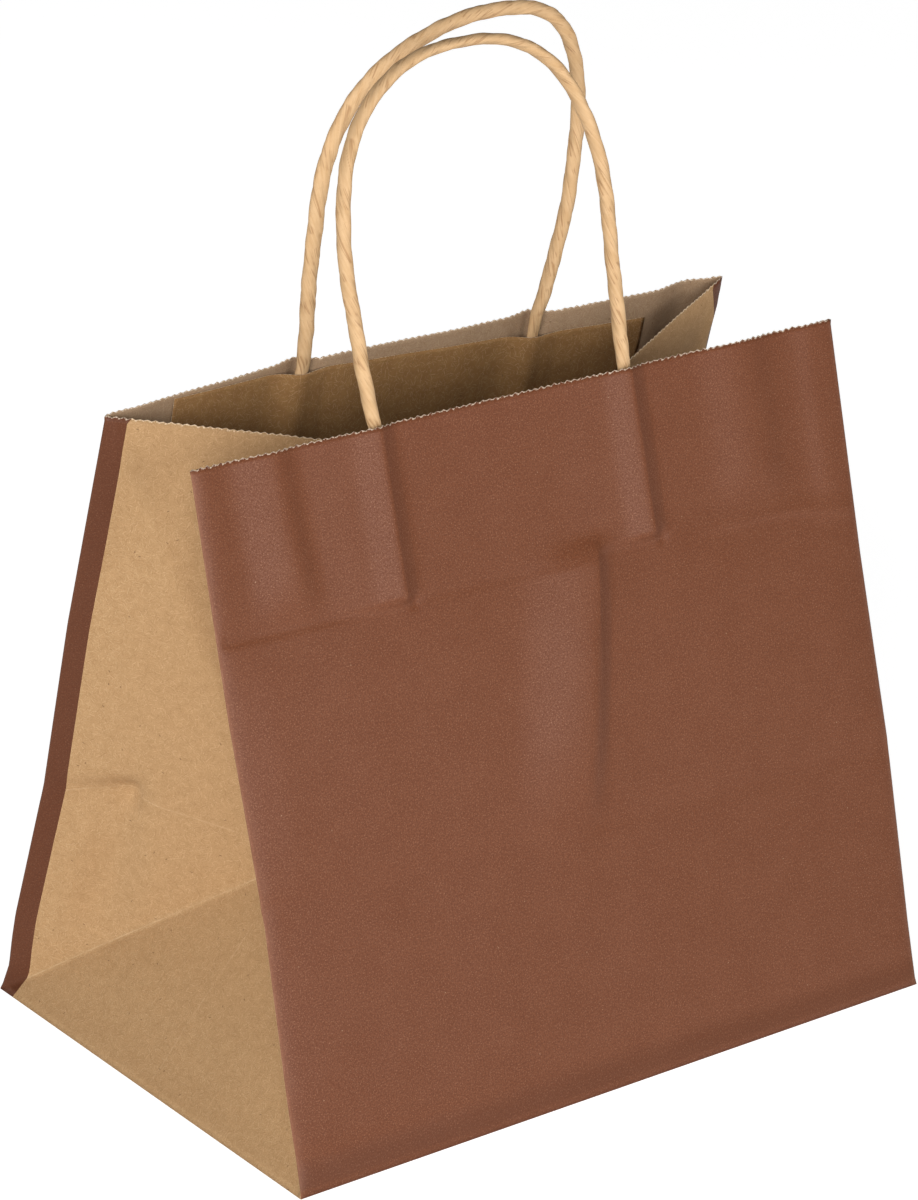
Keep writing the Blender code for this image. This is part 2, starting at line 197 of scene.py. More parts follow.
# Painted sheen beside the side folds.
INK_FOLD_SHEEN = (0.40, 0.20, 0.13)
PINHOLE = (0.50, 0.33, 0.21)
TORN_PRINT = (0.64, 0.50, 0.38)
TORN_GUSSET = (0.78, 0.60, 0.40)
TORN_LINING = (0.70, 0.56, 0.42)
TORN_DARK = (0.34, 0.22, 0.13)
TORN_LIGHT = (0.78, 0.64, 0.48)
# Lighter crease lines on the gussets: scuffed kraft with a painted highlight.
GUSSET_WEAR_AND_HIGHLIGHT = (0.80, 0.58, 0.36)
BARK_SPECK = (0.13, 0.065, 0.03)
GUSSET_TONES = ((0.490, 0.304, 0.150), (0.450, 0.275, 0.132))
GUSSET_FIBRES = ((0.70, 0.48, 0.27), (0.28, 0.145, 0.058))
# The lining fibres and tones below are darker than the kraft outside, partly as painted shade of the bag's
# inside.
LINING_FIBRES_WITH_SHADE = ((0.58, 0.40, 0.23), (0.23, 0.125, 0.055))
INSIDE_PRINT_TONES_WITH_SHADE = ((0.36, 0.245, 0.155), (0.33, 0.22, 0.135))
INSIDE_GUSSET_TONES_WITH_SHADE = ((0.39, 0.24, 0.12), (0.355, 0.212, 0.10))
PATCH_TONES_WITH_SHADE = ((0.29, 0.153, 0.055), (0.25, 0.127, 0.044))
CORD_TONES = ((0.580, 0.370, 0.192), (0.525, 0.325, 0.158))
CORD_STREAK = (0.70, 0.49, 0.285)
CORD_FIBRE = (0.46, 0.27, 0.12)
# Painted shade in the cord's hairline creases.
CORD_HAIRLINE_SHADE = (0.30, 0.15, 0.06)
CORD_SHADOW = (0.36, 0.19, 0.075)

# Layers of kraft fibres, as (spacing, shift, light or dark tone, share)
KRAFT_FIBRES = (
    (0.0016, 0.0, 0, 0.34),
    (0.0019, 0.37, 1, 0.38),
    (0.0009, 0.71, 0, 0.36),
    (0.0010, 1.13, 1, 0.40),
)

# Mesh steps
PANEL_CELLS = 100
GUSSET_CELLS = 68
LOWER_ROWS = 34
FOOT_ROW = 4
MIDDLE_ROWS = 34
CREASE_ROWS = 14
TOP_ROWS = 22
FOLD_ROUND = 0.0007
FINE_STEP = 0.0008
FINE_BEFORE = 0.0016
FINE_AFTER = 0.0064


def bell(distance, half_width):
    if abs(distance) >= half_width:
        return 0.0
    return math.cos(0.5 * math.pi * distance / half_width) ** 2


def ease(value, start, end):
    """A smooth rise from 0 at start to 1 at end."""
    share = min(1.0, max(0.0, (value - start) / (end - start)))
    return share * share * (3 - 2 * share)


def spread(first, last, count):
    return [first + (last - first) * i / (count - 1) for i in range(count)]


def valley(distance, below, above):
    """A straight-sided crease: 1 on its line, 0 at the two reaches."""
    reach = above if distance > 0 else below
    return max(0.0, 1.0 - abs(distance) / reach)


def steep_side(distance, reach):
    """The fall beside a crisp ridge: steepest at its line, and flat at its reach."""
    return max(0.0, 1.0 - distance / reach) ** 1.3


def crease_depth(distance, form):
    """The depth of a crease whose form is (depth, reach below, reach above)."""
    return form[0] * valley(distance, form[1], form[2])


def slackness(spot, waves):
    """Soft unevenness, added up over waves given as (height, waves per metre)."""
    return sum(height * noise.noise(spot * per_metre) for height, per_metre in waves)


def drawn_in(point, height):
    """The foot crease and the fold-up crease pull the wall inwards, but not at the front's right fold."""
    foot = FOOT_PINCH * valley(height - FOOT_CREASE, FOOT_CREASE, FOOT_FADE)
    straight = ease(point.x, 0.0, HALF_WIDTH) * ease(-point.y, 0.0, STRAIGHT_SIDE)
    fold = valley(height - HALF_DEPTH, FOLD_REACH, FOLD_REACH) * (1 - STRAIGHTER * straight)
    foot *= 1 - straight
    across = foot + FOLD_PINCH * fold
    along = foot + FOLD_DENT * fold
    return Vector((point.x * (1 - across / HALF_WIDTH), point.y * (1 - along / HALF_DEPTH), point.z))


class Handle(SimpleNamespace):
    """The places of one handle's two legs, the form of its loop and the cord's breadth along it."""

    def half_width(self, share):
        """Half the cord's breadth, at a share of its length from the left end."""
        place = share * (len(self.breadths) - 1)
        i = min(int(place), len(self.breadths) - 2)
        rise = ease(place - i, 0.0, 1.0)
        return 0.5 * (self.breadths[i] + (self.breadths[i + 1] - self.breadths[i]) * rise)

    def leg_x(self, side, height):
        share = (height - CORD_END) / (SIDE_FOLD - CORD_END)
        return self.toe_x[side] + (self.mouth_x[side] - self.toe_x[side]) * share


class SoftRidge:
    """A long soft ridge in a wall, with its own reach on either side and past either end."""

    def __init__(self, top, bottom, rise, left, right, above=0.012, below=0.012, crisp=False):
        self.top = top
        self.bottom = bottom
        self.rise = rise
        self.left = left
        self.right = right
        self.above = above
        self.below = below
        self.crisp = crisp

    def lift(self, x, height):
        low, high = self.bottom[1], self.top[1]
        share = (height - low) / (high - low)
        line = self.bottom[0] + (self.top[0] - self.bottom[0]) * share
        ends = ease(height, low - self.below, low) * (1 - ease(height, high, high + self.above))
        offset = x - line
        if self.crisp and offset > 0:
            return self.rise * ends * steep_side(offset, self.right)
        return self.rise * ends * bell(offset, self.left if offset < 0 else self.right)


class Panel:
    """The front or the back. facing is -1 for the front and +1 for the back."""

    def __init__(
        self, facing, mouth_y, corner_tuck, bow, patch_middle, patch_tilt, handle, ridges, fine_lines=()
    ):
        self.facing = facing
        self.lean = math.asin((HALF_DEPTH - facing * mouth_y) / SIDE_FOLD)
        self.corner_tuck = corner_tuck
        self.bow = bow
        self.patch_middle = patch_middle
        self.patch_tilt = patch_tilt
        self.handle = handle
        self.ridges = ridges
        self.fine_lines = fine_lines
        self.fold_tilt = FOLD_TILT * facing
        self.outward = Vector((0.0, facing * math.cos(self.lean), math.sin(self.lean)))
        self.upward = Vector((0.0, -facing * math.sin(self.lean), math.cos(self.lean)))

    def flat_point(self, x, height):
        share = height / SIDE_FOLD
        across = x / BAG_WIDTH + 0.5
        skewed = across + BACK_BOW_SKEW * across * (1 - across)
        bowed = self.facing * self.bow * math.sin(math.pi * skewed) * share**2
        foot = Vector((x * (1 - self.corner_tuck / HALF_WIDTH * share), self.facing * HALF_DEPTH, 0.0))
        return foot + self.upward * height + Vector((0.0, bowed, 0.0))

    def point(self, x, height, inward=0.0):
        return drawn_in(self.flat_point(x, height), height) - self.outward * inward

    def face_point(self, x, height):
        return self.point(x, height, -self.relief(x, height))

    def cord_ridge(self, x, height):
        """0 to 1 over the cord's legs: gentle on the left of a leg and steep on its right."""
        best = 0.0
        for side in (0, 1):
            offset = x - self.handle.leg_x(side, height)
            if offset > 0:
                best = max(best, steep_side(offset, RIDGE_RIGHT))
            else:
                near = (1 - SWELL_SHARE) * bell(offset, RIDGE_LEFT)
                best = max(best, near + SWELL_SHARE * bell(offset, RIDGE_SWELL))
        return best * ease(height, PATCH_BOTTOM - 0.001, PATCH_BOTTOM + RIDGE_RAMP)

    def toe_dents(self, x, height):
        """0 to 1 in the small hollow beside the end of each leg."""
        best = 0.0
        for side in (0, 1):
            across = (x - self.handle.toe_x[side] - TOE_DENT_PLACE[0]) / TOE_DENT_SIZE[0]
            up = (height - PATCH_BOTTOM - TOE_DENT_PLACE[1]) / TOE_DENT_SIZE[1]
            best = max(best, 1.0 - math.hypot(across, up))
        return best

    def patch_edge(self, x):
        """The height of the glued patch's lower edge."""
        droop = EDGE_DROOP * ease(x, 0.088, HALF_WIDTH)
        return PATCH_BOTTOM + self.patch_tilt * (x - self.patch_middle) - droop

    def fold_up(self, x):
        """The height of the faint crease where the bottom was folded up."""
        return HALF_DEPTH + self.fold_tilt * x

    def pressed_edge(self, x, spot):
        """How deep the patch's edge shows: clear at the left, lost in the middle, a ridge at the right."""
        at_left = 0.2 + 0.8 * ease(-x, 0.050, 0.080) + 0.5 * noise.noise(spot * 35)
        return at_left * (1 - ease(x, 0.0, 0.045)) - 0.8 * ease(x, 0.050, 0.080)

    def belly(self, height):
        """The bulge of the paper between its foot, the fold-up crease and the patch."""
        upper = (height - HALF_DEPTH) / (PATCH_BOTTOM - HALF_DEPTH)
        lower = min(1.0, height / HALF_DEPTH)
        bulge = UPPER_BELLY * math.sin(math.pi * min(1.0, max(0.0, upper)))
        return bulge + LOWER_BELLY * math.sin(math.pi * lower)

    def relief(self, x, height):
        """How far the paper stands out of its flat panel."""
        from_fold = HALF_WIDTH - abs(x)
        inside = ease(from_fold, 0.0, PANEL_MARGIN)
        risen = ease(height, 0.0, 0.006)
        spot = Vector((x, height, self.facing))
        soft = slackness(spot, PANEL_SLACK) + self.belly(height)
        soft += sum(ridge.lift(x, height) for ridge in self.ridges)
        edge = ease(from_fold, 0.0, 0.003) * self.pressed_edge(x, spot)
        creases = edge * crease_depth(height - self.patch_edge(x), PATCH_CREASE)
        creases += crease_depth(height - self.fold_up(x), FOLD_UP_CREASE)
        foot = crease_depth(height - FOOT_ROW * HALF_DEPTH / LOWER_ROWS, FOOT_RELIEF)
        creases += foot * (0.25 + 0.75 * ease(from_fold, 0.0, 0.010))
        raised = RIDGE_HEIGHT * self.cord_ridge(x, height) - TOE_DENT * self.toe_dents(x, height)
        raised -= RIDGE_SETTLE * inside * ease(height, PATCH_BOTTOM - 0.020, PATCH_BOTTOM + 0.010)
        raised += FOLD_STEP * min(1.0, from_fold / FOLD_STRIP) * risen
        return raised + risen * inside * soft - creases


def meeting_point(first, first_length, second, second_length, third, third_length):
    """Where three lengths of paper from three points meet, on the side nearer the bag's middle."""
    along = (second - first).normalized()
    reach = (second - first).length
    offset = along.dot(third - first)
    across = (third - first - along * offset).normalized()
    rise = across.dot(third - first)
    x = (first_length**2 - second_length**2 + reach**2) / (2 * reach)
    y = (first_length**2 - third_length**2 + offset**2 + rise**2 - 2 * offset * x) / (2 * rise)
    z = math.sqrt(max(0.0, first_length**2 - x**2 - y**2))
    normal = along.cross(across)
    foot = first + along * x + across * y
    return min((foot + normal * z, foot - normal * z), key=lambda point: abs(point.x))


class Gusset:
    """A side wall folded inwards on its centre line. side is -1 for the left, +1 for the right."""

    def __init__(self, side):
        self.side = side
        edge = side * HALF_WIDTH
        self.feet = [panel.flat_point(edge, 0.0) for panel in (FRONT, BACK)]
        self.bends = [panel.flat_point(edge, HALF_DEPTH) for panel in (FRONT, BACK)]
        self.tops = [panel.flat_point(edge, SIDE_FOLD) for panel in (FRONT, BACK)]
        diagonal = HALF_DEPTH * math.sqrt(2)
        front_foot, back_foot = self.feet
        self.apex = meeting_point(front_foot, diagonal, back_foot, diagonal, self.bends[0], HALF_DEPTH)
        self.tip = meeting_point(
            self.tops[0], HALF_DEPTH, self.tops[1], HALF_DEPTH, self.apex, SIDE_FOLD - HALF_DEPTH
        )

    def flat_point(self, along, height):
        end = 0 if along <= HALF_DEPTH else 1
        inset = min(along, BAG_DEPTH - along)
        if height >= HALF_DEPTH:
            rise = (height - HALF_DEPTH) / (SIDE_FOLD - HALF_DEPTH)
            return self.wing_point(end, inset / HALF_DEPTH, rise)
        if inset <= height:
            bend, foot = self.bends[end], self.feet[end]
            share, rise = inset / HALF_DEPTH, height / HALF_DEPTH
            return self.apex * share + bend * (rise - share) + foot * (1 - rise)
        rise = height / HALF_DEPTH
        back = along / BAG_DEPTH - rise / 2
        return self.apex * rise + self.feet[0] * (1 - rise - back) + self.feet[1] * back

    def wing_point(self, end, inset, rise):
        bend, top = self.bends[end], self.tops[end]
        if inset + rise <= 1:
            return bend * (1 - inset - rise) + self.apex * inset + top * rise
        return self.apex * (1 - rise) + top * (1 - inset) + self.tip * (inset + rise - 1)

    def face_point(self, along, height):
        return drawn_in(self.flat_point(along, height), height)

    def relief(self, along, height):
        """How far the paper stands out of its folded planes: slack, a pinched crease, soft hollows."""
        inset = min(along, BAG_DEPTH - along)
        inside = ease(inset, 0.0, GUSSET_MARGIN) * ease(height, 0.0, 0.008)
        slack = slackness(Vector((along + 3 * self.side, height, 5.0)), GUSSET_SLACK)
        if along < HALF_DEPTH:
            return inside * slack
        reach = min(1.0, inset / PINCH_INSET)
        crease_height = PINCH_START + (PINCH_HEIGHT - PINCH_START) * ease(reach, 0.0, 1.0)
        crease = valley(height - crease_height, *PINCH_CREASE_REACH)
        crease *= PINCH_CREASE[0] + PINCH_CREASE[1] * reach
        crease *= 1 - ease(inset, PINCH_INSET, PINCH_INSET + 0.004)
        away = math.hypot(inset - PINCH_INSET, 0.8 * (height - PINCH_HEIGHT))
        sunk = crease + PINCH_DEPTH * max(0.0, 1 - away / PINCH_REACH)
        for depth, place, half_width, start, end, back_start, back_end in GUSSET_HOLLOWS:
            lasting = ease(height, start, end) * (1 - ease(height, back_start, back_end))
            sunk += depth * bell(inset - place, half_width) * lasting
        return inside * (slack - sunk)


FRONT_HANDLE = Handle(
    mouth_x=(-0.0547, 0.0381),
    toe_x=(-0.0545, 0.0388),
    widest=(0.0495, 0.0468),
    widest_height=0.0453,
    rise=0.1038,
    lean=math.radians(13),
    skew=0.0007,
    breadths=(0.0044, 0.0044, 0.0043, 0.0037, 0.0033, 0.0037, 0.0043, 0.0044, 0.0044),
)
BACK_HANDLE = Handle(
    mouth_x=(-0.0430, 0.0452),
    toe_x=(-0.0445, 0.0440),
    widest=(0.0445, 0.0486),
    widest_height=0.0481,
    rise=0.1048,
    lean=math.radians(-8),
    skew=0.0129,
    breadths=(0.0046, 0.0047, 0.0052, 0.0053, 0.0043, 0.0044, 0.0043, 0.0041, 0.0042),
)
FRONT = Panel(
    facing=-1,
    mouth_y=MOUTH_SHIFT - MOUTH_DEPTH / 2,
    corner_tuck=0.0,
    bow=0.0,
    patch_middle=-0.006,
    patch_tilt=-0.020,
    handle=FRONT_HANDLE,
    ridges=[
        SoftRidge((0.0155, 0.159), (0.007, 0.115), 0.0034, 0.030, 0.0075, 0.010, 0.045, crisp=True),
        SoftRidge((-0.092, SIDE_FOLD), (-0.090, 0.178), 0.0021, 0.018, 0.009, below=0.018),
        SoftRidge((0.083, SIDE_FOLD), (0.084, 0.176), 0.0018, 0.022, 0.014, below=0.018),
        SoftRidge((0.111, SIDE_FOLD), (0.112, 0.170), 0.0009, 0.010, 0.007, below=0.018),
    ],
    fine_lines=(0.0135,),
)
BACK = Panel(
    facing=1,
    mouth_y=MOUTH_SHIFT + MOUTH_DEPTH / 2,
    corner_tuck=BACK_CORNER_TUCK,
    bow=BACK_BOW,
    patch_middle=-0.0015,
    patch_tilt=-0.045,
    handle=BACK_HANDLE,
    ridges=[
        SoftRidge((-0.010, 0.150), (0.004, 0.100), 0.0009, 0.008, 0.024, above=0.003, below=0.030),
        SoftRidge((0.107, SIDE_FOLD), (0.104, 0.185), 0.0024, 0.016, 0.0115, below=0.040),
    ],
)
LEFT = Gusset(-1)
RIGHT = Gusset(1)
WALLS = ((FRONT, 1), (RIGHT, 1), (BACK, -1), (LEFT, -1))

# Where each wall starts along the flat sheet, running round the bag from the front's left fold
SHEET_START = {
    id(FRONT): 0.0,
    id(RIGHT): BAG_WIDTH,
    id(BACK): BAG_WIDTH + BAG_DEPTH,
    id(LEFT): 2 * BAG_WIDTH + BAG_DEPTH,
}


def extent(wall):
    """Where a wall's places start, how wide it is, and its number of cells."""
    if isinstance(wall, Panel):
        return -HALF_WIDTH, BAG_WIDTH, PANEL_CELLS
    return 0.0, BAG_DEPTH, GUSSET_CELLS


def wall_places(wall):
    """The places across a wall: closer together at its sharp ridges, and one more beside each fold."""
    start, width, cells = extent(wall)
    places = spread(start, start + width, cells + 1)
    if isinstance(wall, Panel):
        for line in wall.handle.toe_x + wall.fine_lines:
            count = round((FINE_BEFORE + FINE_AFTER) / FINE_STEP) + 1
            fine = spread(line - FINE_BEFORE, line + FINE_AFTER, count)
            first = fine[0] - FINE_STEP / 2
            last = fine[-1] + FINE_STEP / 2
            clear = [place for place in places if not first < place < last]
            places = sorted(clear + fine)
    return [places[0], places[0] + FOLD_ROUND] + places[1:-1] + [places[-1] - FOLD_ROUND, places[-1]]


def sheet_place(wall, way, place):
    """How far along the flat sheet a place of this wall lies."""
    start, width, _ = extent(wall)
    across = place - start
    return SHEET_START[id(wall)] + (across if way > 0 else width - across)


class SheetPoint:
    """One point of the sheet: its vertex, its wall, and its place on the flat sheet."""

    def __init__(self, vertex, wall, place, height):
        self.vertex = vertex
        self.wall = wall
        self.place = place
        self.height = height


def sheet_point(bm, wall, place, height):
    return SheetPoint(bm.verts.new(wall.face_point(place, height)), wall, place, height)


def wall_row(bm, height):
    runs = []
    for wall, way in WALLS:
        places = wall_places(wall)[::way]
        runs.append([sheet_point(bm, wall, place, height) for place in places[:-1]])
    return closed_runs(runs)


def closed_runs(runs):
    """Each run ends on the next run's first vertex, kept at its own wall's last place."""
    result = []
    for i, run in enumerate(runs):
        wall, way = WALLS[i]
        following = runs[(i + 1) % len(runs)][0]
        start, width, _ = extent(wall)
        end = start + width if way > 0 else start
        last = SheetPoint(following.vertex, wall, end, following.height)
        result.append(run + [last])
    return result


def tooth_row(bm):
    runs = []
    for wall, way in WALLS:
        start, width, cells = extent(wall)
        steps = 2 * cells
        run = []
        for i in range(steps):
            place = start + width * (i if way > 0 else steps - i) / steps
            fray = TOOTH_FRAY * noise.noise(Vector((place * 1900, len(runs) * 5.0, 1.0)))
            height = (SIDE_FOLD - TOOTH_FRAY if i % 2 else SIDE_FOLD - TOOTH_HEIGHT) + fray
            run.append(sheet_point(bm, wall, place, height))
        runs.append(run)
    return closed_runs(runs)


class Sheet:
    """The fine mesh of the folded sheet, with its flat layout kept as a UV map in metres."""

    def __init__(self):
        self.bm = bmesh.new()
        self.layout = self.bm.loops.layers.uv.new("flat_sheet")
        self.raw = self.bm.verts.layers.float.new("raw_edge")

    def face(self, points, way, printed):
        face = self.bm.faces.new([point.vertex for point in points])
        for loop, point in zip(face.loops, points):
            loop[self.layout].uv = (sheet_place(point.wall, way, point.place), point.height)
        face.material_index = 0 if printed else 1
        face.smooth = True

    def join(self, lower, upper):
        """Quads between two rows, split along the diagonal creases in the gussets."""
        for (wall, way), low, high in zip(WALLS, lower, upper):
            for i in range(len(low) - 1):
                middle = 0.5 * (low[i].place + low[i + 1].place)
                printed = is_printed(wall, middle)
                corners = (low[i], low[i + 1], high[i + 1], high[i])
                shapes = ((0, 1, 2, 3),)
                if isinstance(wall, Gusset) and low[0].height < HALF_DEPTH - 1e-6:
                    rising = (middle < HALF_DEPTH) == (way > 0)
                    shapes = ((0, 1, 2), (0, 2, 3)) if rising else ((0, 1, 3), (1, 2, 3))
                for shape in shapes:
                    self.face([corners[k] for k in shape], way, printed)

    def lace(self, lower, upper):
        """Triangles between the last plain row and the toothed row."""
        for (wall, way), low, high in zip(WALLS, lower, upper):
            i = j = 0
            while i < len(low) - 1 or j < len(high) - 1:
                step_low = j == len(high) - 1
                if i < len(low) - 1 and not step_low:
                    step_low = way * low[i + 1].place < way * high[j + 1].place
                printed = is_printed(wall, high[j].place - 0.0001 * way)
                if step_low:
                    self.face((low[i], low[i + 1], high[j]), way, printed)
                    i += 1
                else:
                    self.face((low[i], high[j + 1], high[j]), way, printed)
                    j += 1


def is_printed(wall, place):
    return isinstance(wall, Panel) or place > BAG_DEPTH - PRINT_WRAP


def raise_relief(sheet, rows):
    """Gusset points move along their own normals; panels have their relief already."""
    sheet.bm.normal_update()
    moves = {}
    for row in rows:
        for run in row:
            for point in run:
                if isinstance(point.wall, Gusset):
                    lift = point.wall.relief(point.place, point.height)
                    moves[point.vertex] = point.vertex.normal * lift
    for vertex, move in moves.items():
        vertex.co += move


def round_folds(rows):
    """Each corner point moves in towards its two neighbours, so that the fold has a radius."""
    for row in rows:
        for i, run in enumerate(row):
            before = row[i - 1][-2].vertex.co
            after = run[1].vertex.co
            corner = run[0].vertex
            corner.co = corner.co.lerp((before + after) / 2, 0.45)


def close_bottom(sheet, row):
    """The flaps: the front one laps over the back one, and both lie over the gussets' triangles."""
    bm = sheet.bm
    front, right, back, left = [[point.vertex for point in run] for run in row]
    reach = HALF_WIDTH - HALF_DEPTH
    lap_reach = reach - FLAP_LAP
    raised = FLAP_STEP * (HALF_DEPTH - FLAP_LAP) / HALF_DEPTH
    low = {side: bm.verts.new((side * reach, 0.0, 0.0)) for side in (-1, 1)}
    middle = {side: bm.verts.new((side * reach, 0.0, FLAP_STEP)) for side in (-1, 1)}
    high = {side: bm.verts.new((side * reach, 0.0, 2 * FLAP_STEP)) for side in (-1, 1)}
    lap_low = {side: bm.verts.new((side * lap_reach, FLAP_LAP, 0.0)) for side in (-1, 1)}
    lap_high = {side: bm.verts.new((side * lap_reach, FLAP_LAP, raised)) for side in (-1, 1)}
    printed = [
        front[::-1] + [low[-1], lap_low[-1], lap_low[1], low[1]],
        back[::-1] + [middle[1], lap_high[1], lap_high[-1], middle[-1]],
        (low[-1], middle[-1], lap_high[-1], lap_low[-1]),
        (lap_low[-1], lap_high[-1], lap_high[1], lap_low[1]),
        (lap_low[1], lap_high[1], middle[1], low[1]),
    ]
    plain = [
        right[::-1] + [high[1]],
        left[::-1] + [high[-1]],
        (front[0], high[-1], middle[-1], low[-1]),
        (front[-1], low[1], middle[1], high[1]),
        (back[-1], middle[-1], high[-1]),
        (back[0], high[1], middle[1]),
    ]
    for index, group in ((0, printed), (1, plain)):
        for corners in group:
            face = bm.faces.new(corners)
            face.material_index = index
            face.smooth = False
            for loop in face.loops:
                loop[sheet.layout].uv = (loop.vert.co.x + 1.0, loop.vert.co.y)


def row_heights():
    """The mesh rows, closer together where the patch's lower edge creases the panels."""
    below, above = PATCH_BOTTOM - 0.006, PATCH_BOTTOM + 0.0065
    heights = spread(0.0, HALF_DEPTH, LOWER_ROWS + 1)
    heights += spread(HALF_DEPTH, below, MIDDLE_ROWS + 1)[1:]
    heights += spread(below, above, CREASE_ROWS + 1)[1:]
    return heights + spread(above, SIDE_FOLD - TOOTH_BAND, TOP_ROWS + 1)[1:]


def bag_body(materials):
    """The whole folded sheet: four walls and the flaps of the bottom."""
    sheet = Sheet()
    rows = [wall_row(sheet.bm, height) for height in row_heights()]
    teeth = tooth_row(sheet.bm)
    for point in [point for run in teeth for point in run]:
        point.vertex[sheet.raw] = 1.0
    for lower, upper in zip(rows, rows[1:]):
        sheet.join(lower, upper)
    sheet.lace(rows[-1], teeth)
    raise_relief(sheet, rows + [teeth])
    round_folds(rows[1:])
    close_bottom(sheet, rows[0])
    bmesh.ops.triangulate(sheet.bm, faces=[face for face in sheet.bm.faces if len(face.verts) > 4])
    return thick_paper(add_piece("bag_sheet", sheet.bm, materials), even=True, inside=2, rim=4)


def new_object(name, data):
    thing = bpy.data.objects.new(name, data)
    bpy.context.scene.collection.objects.link(thing)
    return thing


def add_piece(name, bm, materials):
    mesh = bpy.data.meshes.new(name)
    bm.to_mesh(mesh)
    bm.free()
    for material in materials:
        mesh.materials.append(material)
    return new_object(name, mesh)


def thick_paper(piece, even, inside, rim):
    """Gives a piece its thickness inwards. inside and rim count on from each face's own material."""
    paper = piece.modifiers.new("Paper", "SOLIDIFY")
    paper.thickness = PAPER
    paper.offset = -1.0
    paper.use_even_offset = even
    paper.material_offset = inside
    paper.material_offset_rim = rim
    return piece


def patch(name, panel, materials):
    """A glued strip over the ends of one handle, raised in a channel over each leg."""
    handle = panel.handle
    start = panel.patch_middle - PATCH_LENGTH / 2
    end = panel.patch_middle + PATCH_LENGTH / 2
    bm = bmesh.new()
    layout = bm.loops.layers.uv.new("flat_sheet")
    rows = []
    for level in spread(0.0, PATCH_HEIGHT, PATCH_ROWS + 1):
        row = []
        for place in spread(start, end, PATCH_COLUMNS + 1):
            height = PATCH_BOTTOM + level + panel.patch_tilt * (place - panel.patch_middle)
            height += PATCH_WAVE * noise.noise(Vector((place * 40, 2.0, panel.facing)))
            to_cord = min(abs(place - handle.leg_x(side, height)) for side in (0, 1))
            channel = bell(to_cord, CHANNEL_REACH) * ease(level, 0.0, RIDGE_RAMP)
            against_panel = PAPER + PATCH_GAP - panel.relief(place, height)
            over_cord = CORD_DEPTH + CHANNEL_ROOM * CORD_RADIUS + PATCH_GAP
            depth = against_panel + (over_cord - against_panel) * channel
            row.append((bm.verts.new(panel.point(place, height, depth)), place, level))
        rows.append(row)
    for lower, upper in zip(rows, rows[1:]):
        for i in range(len(lower) - 1):
            corners = [lower[i], lower[i + 1], upper[i + 1], upper[i]]
            if panel.facing > 0:
                corners.reverse()
            face = bm.faces.new([corner[0] for corner in corners])
            face.smooth = True
            for loop, corner in zip(face.loops, corners):
                loop[layout].uv = (corner[1] + 2.0, corner[2])
    return thick_paper(add_piece(name, bm, materials), even=False, inside=0, rim=1)


def loop_points(handle, panel, left, right):
    """The arch above the mouth, from the left leg over the crown to the right leg."""
    across = (right - left).normalized()
    foot = (right - left).length / 2
    lean = Vector((0.0, math.sin(handle.lean), math.cos(handle.lean)))
    upward = (lean - across * lean.dot(across)).normalized()
    bend = panel.upward.y - upward.y
    crown = handle.rise - handle.widest_height
    points = []
    for angle in spread(-1.0, 1.0, LOOP_POINTS):
        share = abs(angle)
        widest = handle.widest[0 if angle < 0 else 1]
        if share > 0.5:
            height = handle.widest_height * 2 * (1 - share)
            half = foot + (widest - foot) * math.sin(0.5 * math.pi * height / handle.widest_height)
        else:
            turn = math.pi * share
            half = widest * math.sin(turn) ** (2 / CROWN_POWER)
            height = handle.widest_height + crown * math.cos(turn) ** (2 / CROWN_POWER)
        sideways = math.copysign(half, angle) + handle.skew * (height / handle.rise) ** CROWN_SKEW_POWER
        settle = bend * CORD_BEND_LENGTH * (1 - math.exp(-height / CORD_BEND_LENGTH))
        place = (left + right) / 2 + across * sideways + upward * height
        points.append(place + Vector((0.0, settle, 0.0)))
    return points


def handle_route(panel):
    """The cord's middle line, from one hidden end over the loop to the other."""
    handle = panel.handle
    heights = spread(CORD_END, SIDE_FOLD, HIDDEN_POINTS)
    left, right = [
        [panel.point(handle.leg_x(side, height), height, CORD_DEPTH) for height in heights]
        for side in (0, 1)
    ]
    return left[:-1] + loop_points(handle, panel, left[-1], right[-1]) + right[-2::-1]


def even_points(points, spacing):
    lengths = [0.0]
    for before, after in zip(points, points[1:]):
        lengths.append(lengths[-1] + (after - before).length)
    count = round(lengths[-1] / spacing) + 1
    result = []
    i = 0
    for target in spread(0.0, lengths[-1], count):
        while i < len(points) - 2 and lengths[i + 1] < target:
            i += 1
        share = (target - lengths[i]) / max(lengths[i + 1] - lengths[i], 1e-9)
        result.append(points[i].lerp(points[i + 1], min(1.0, share)))
    return result


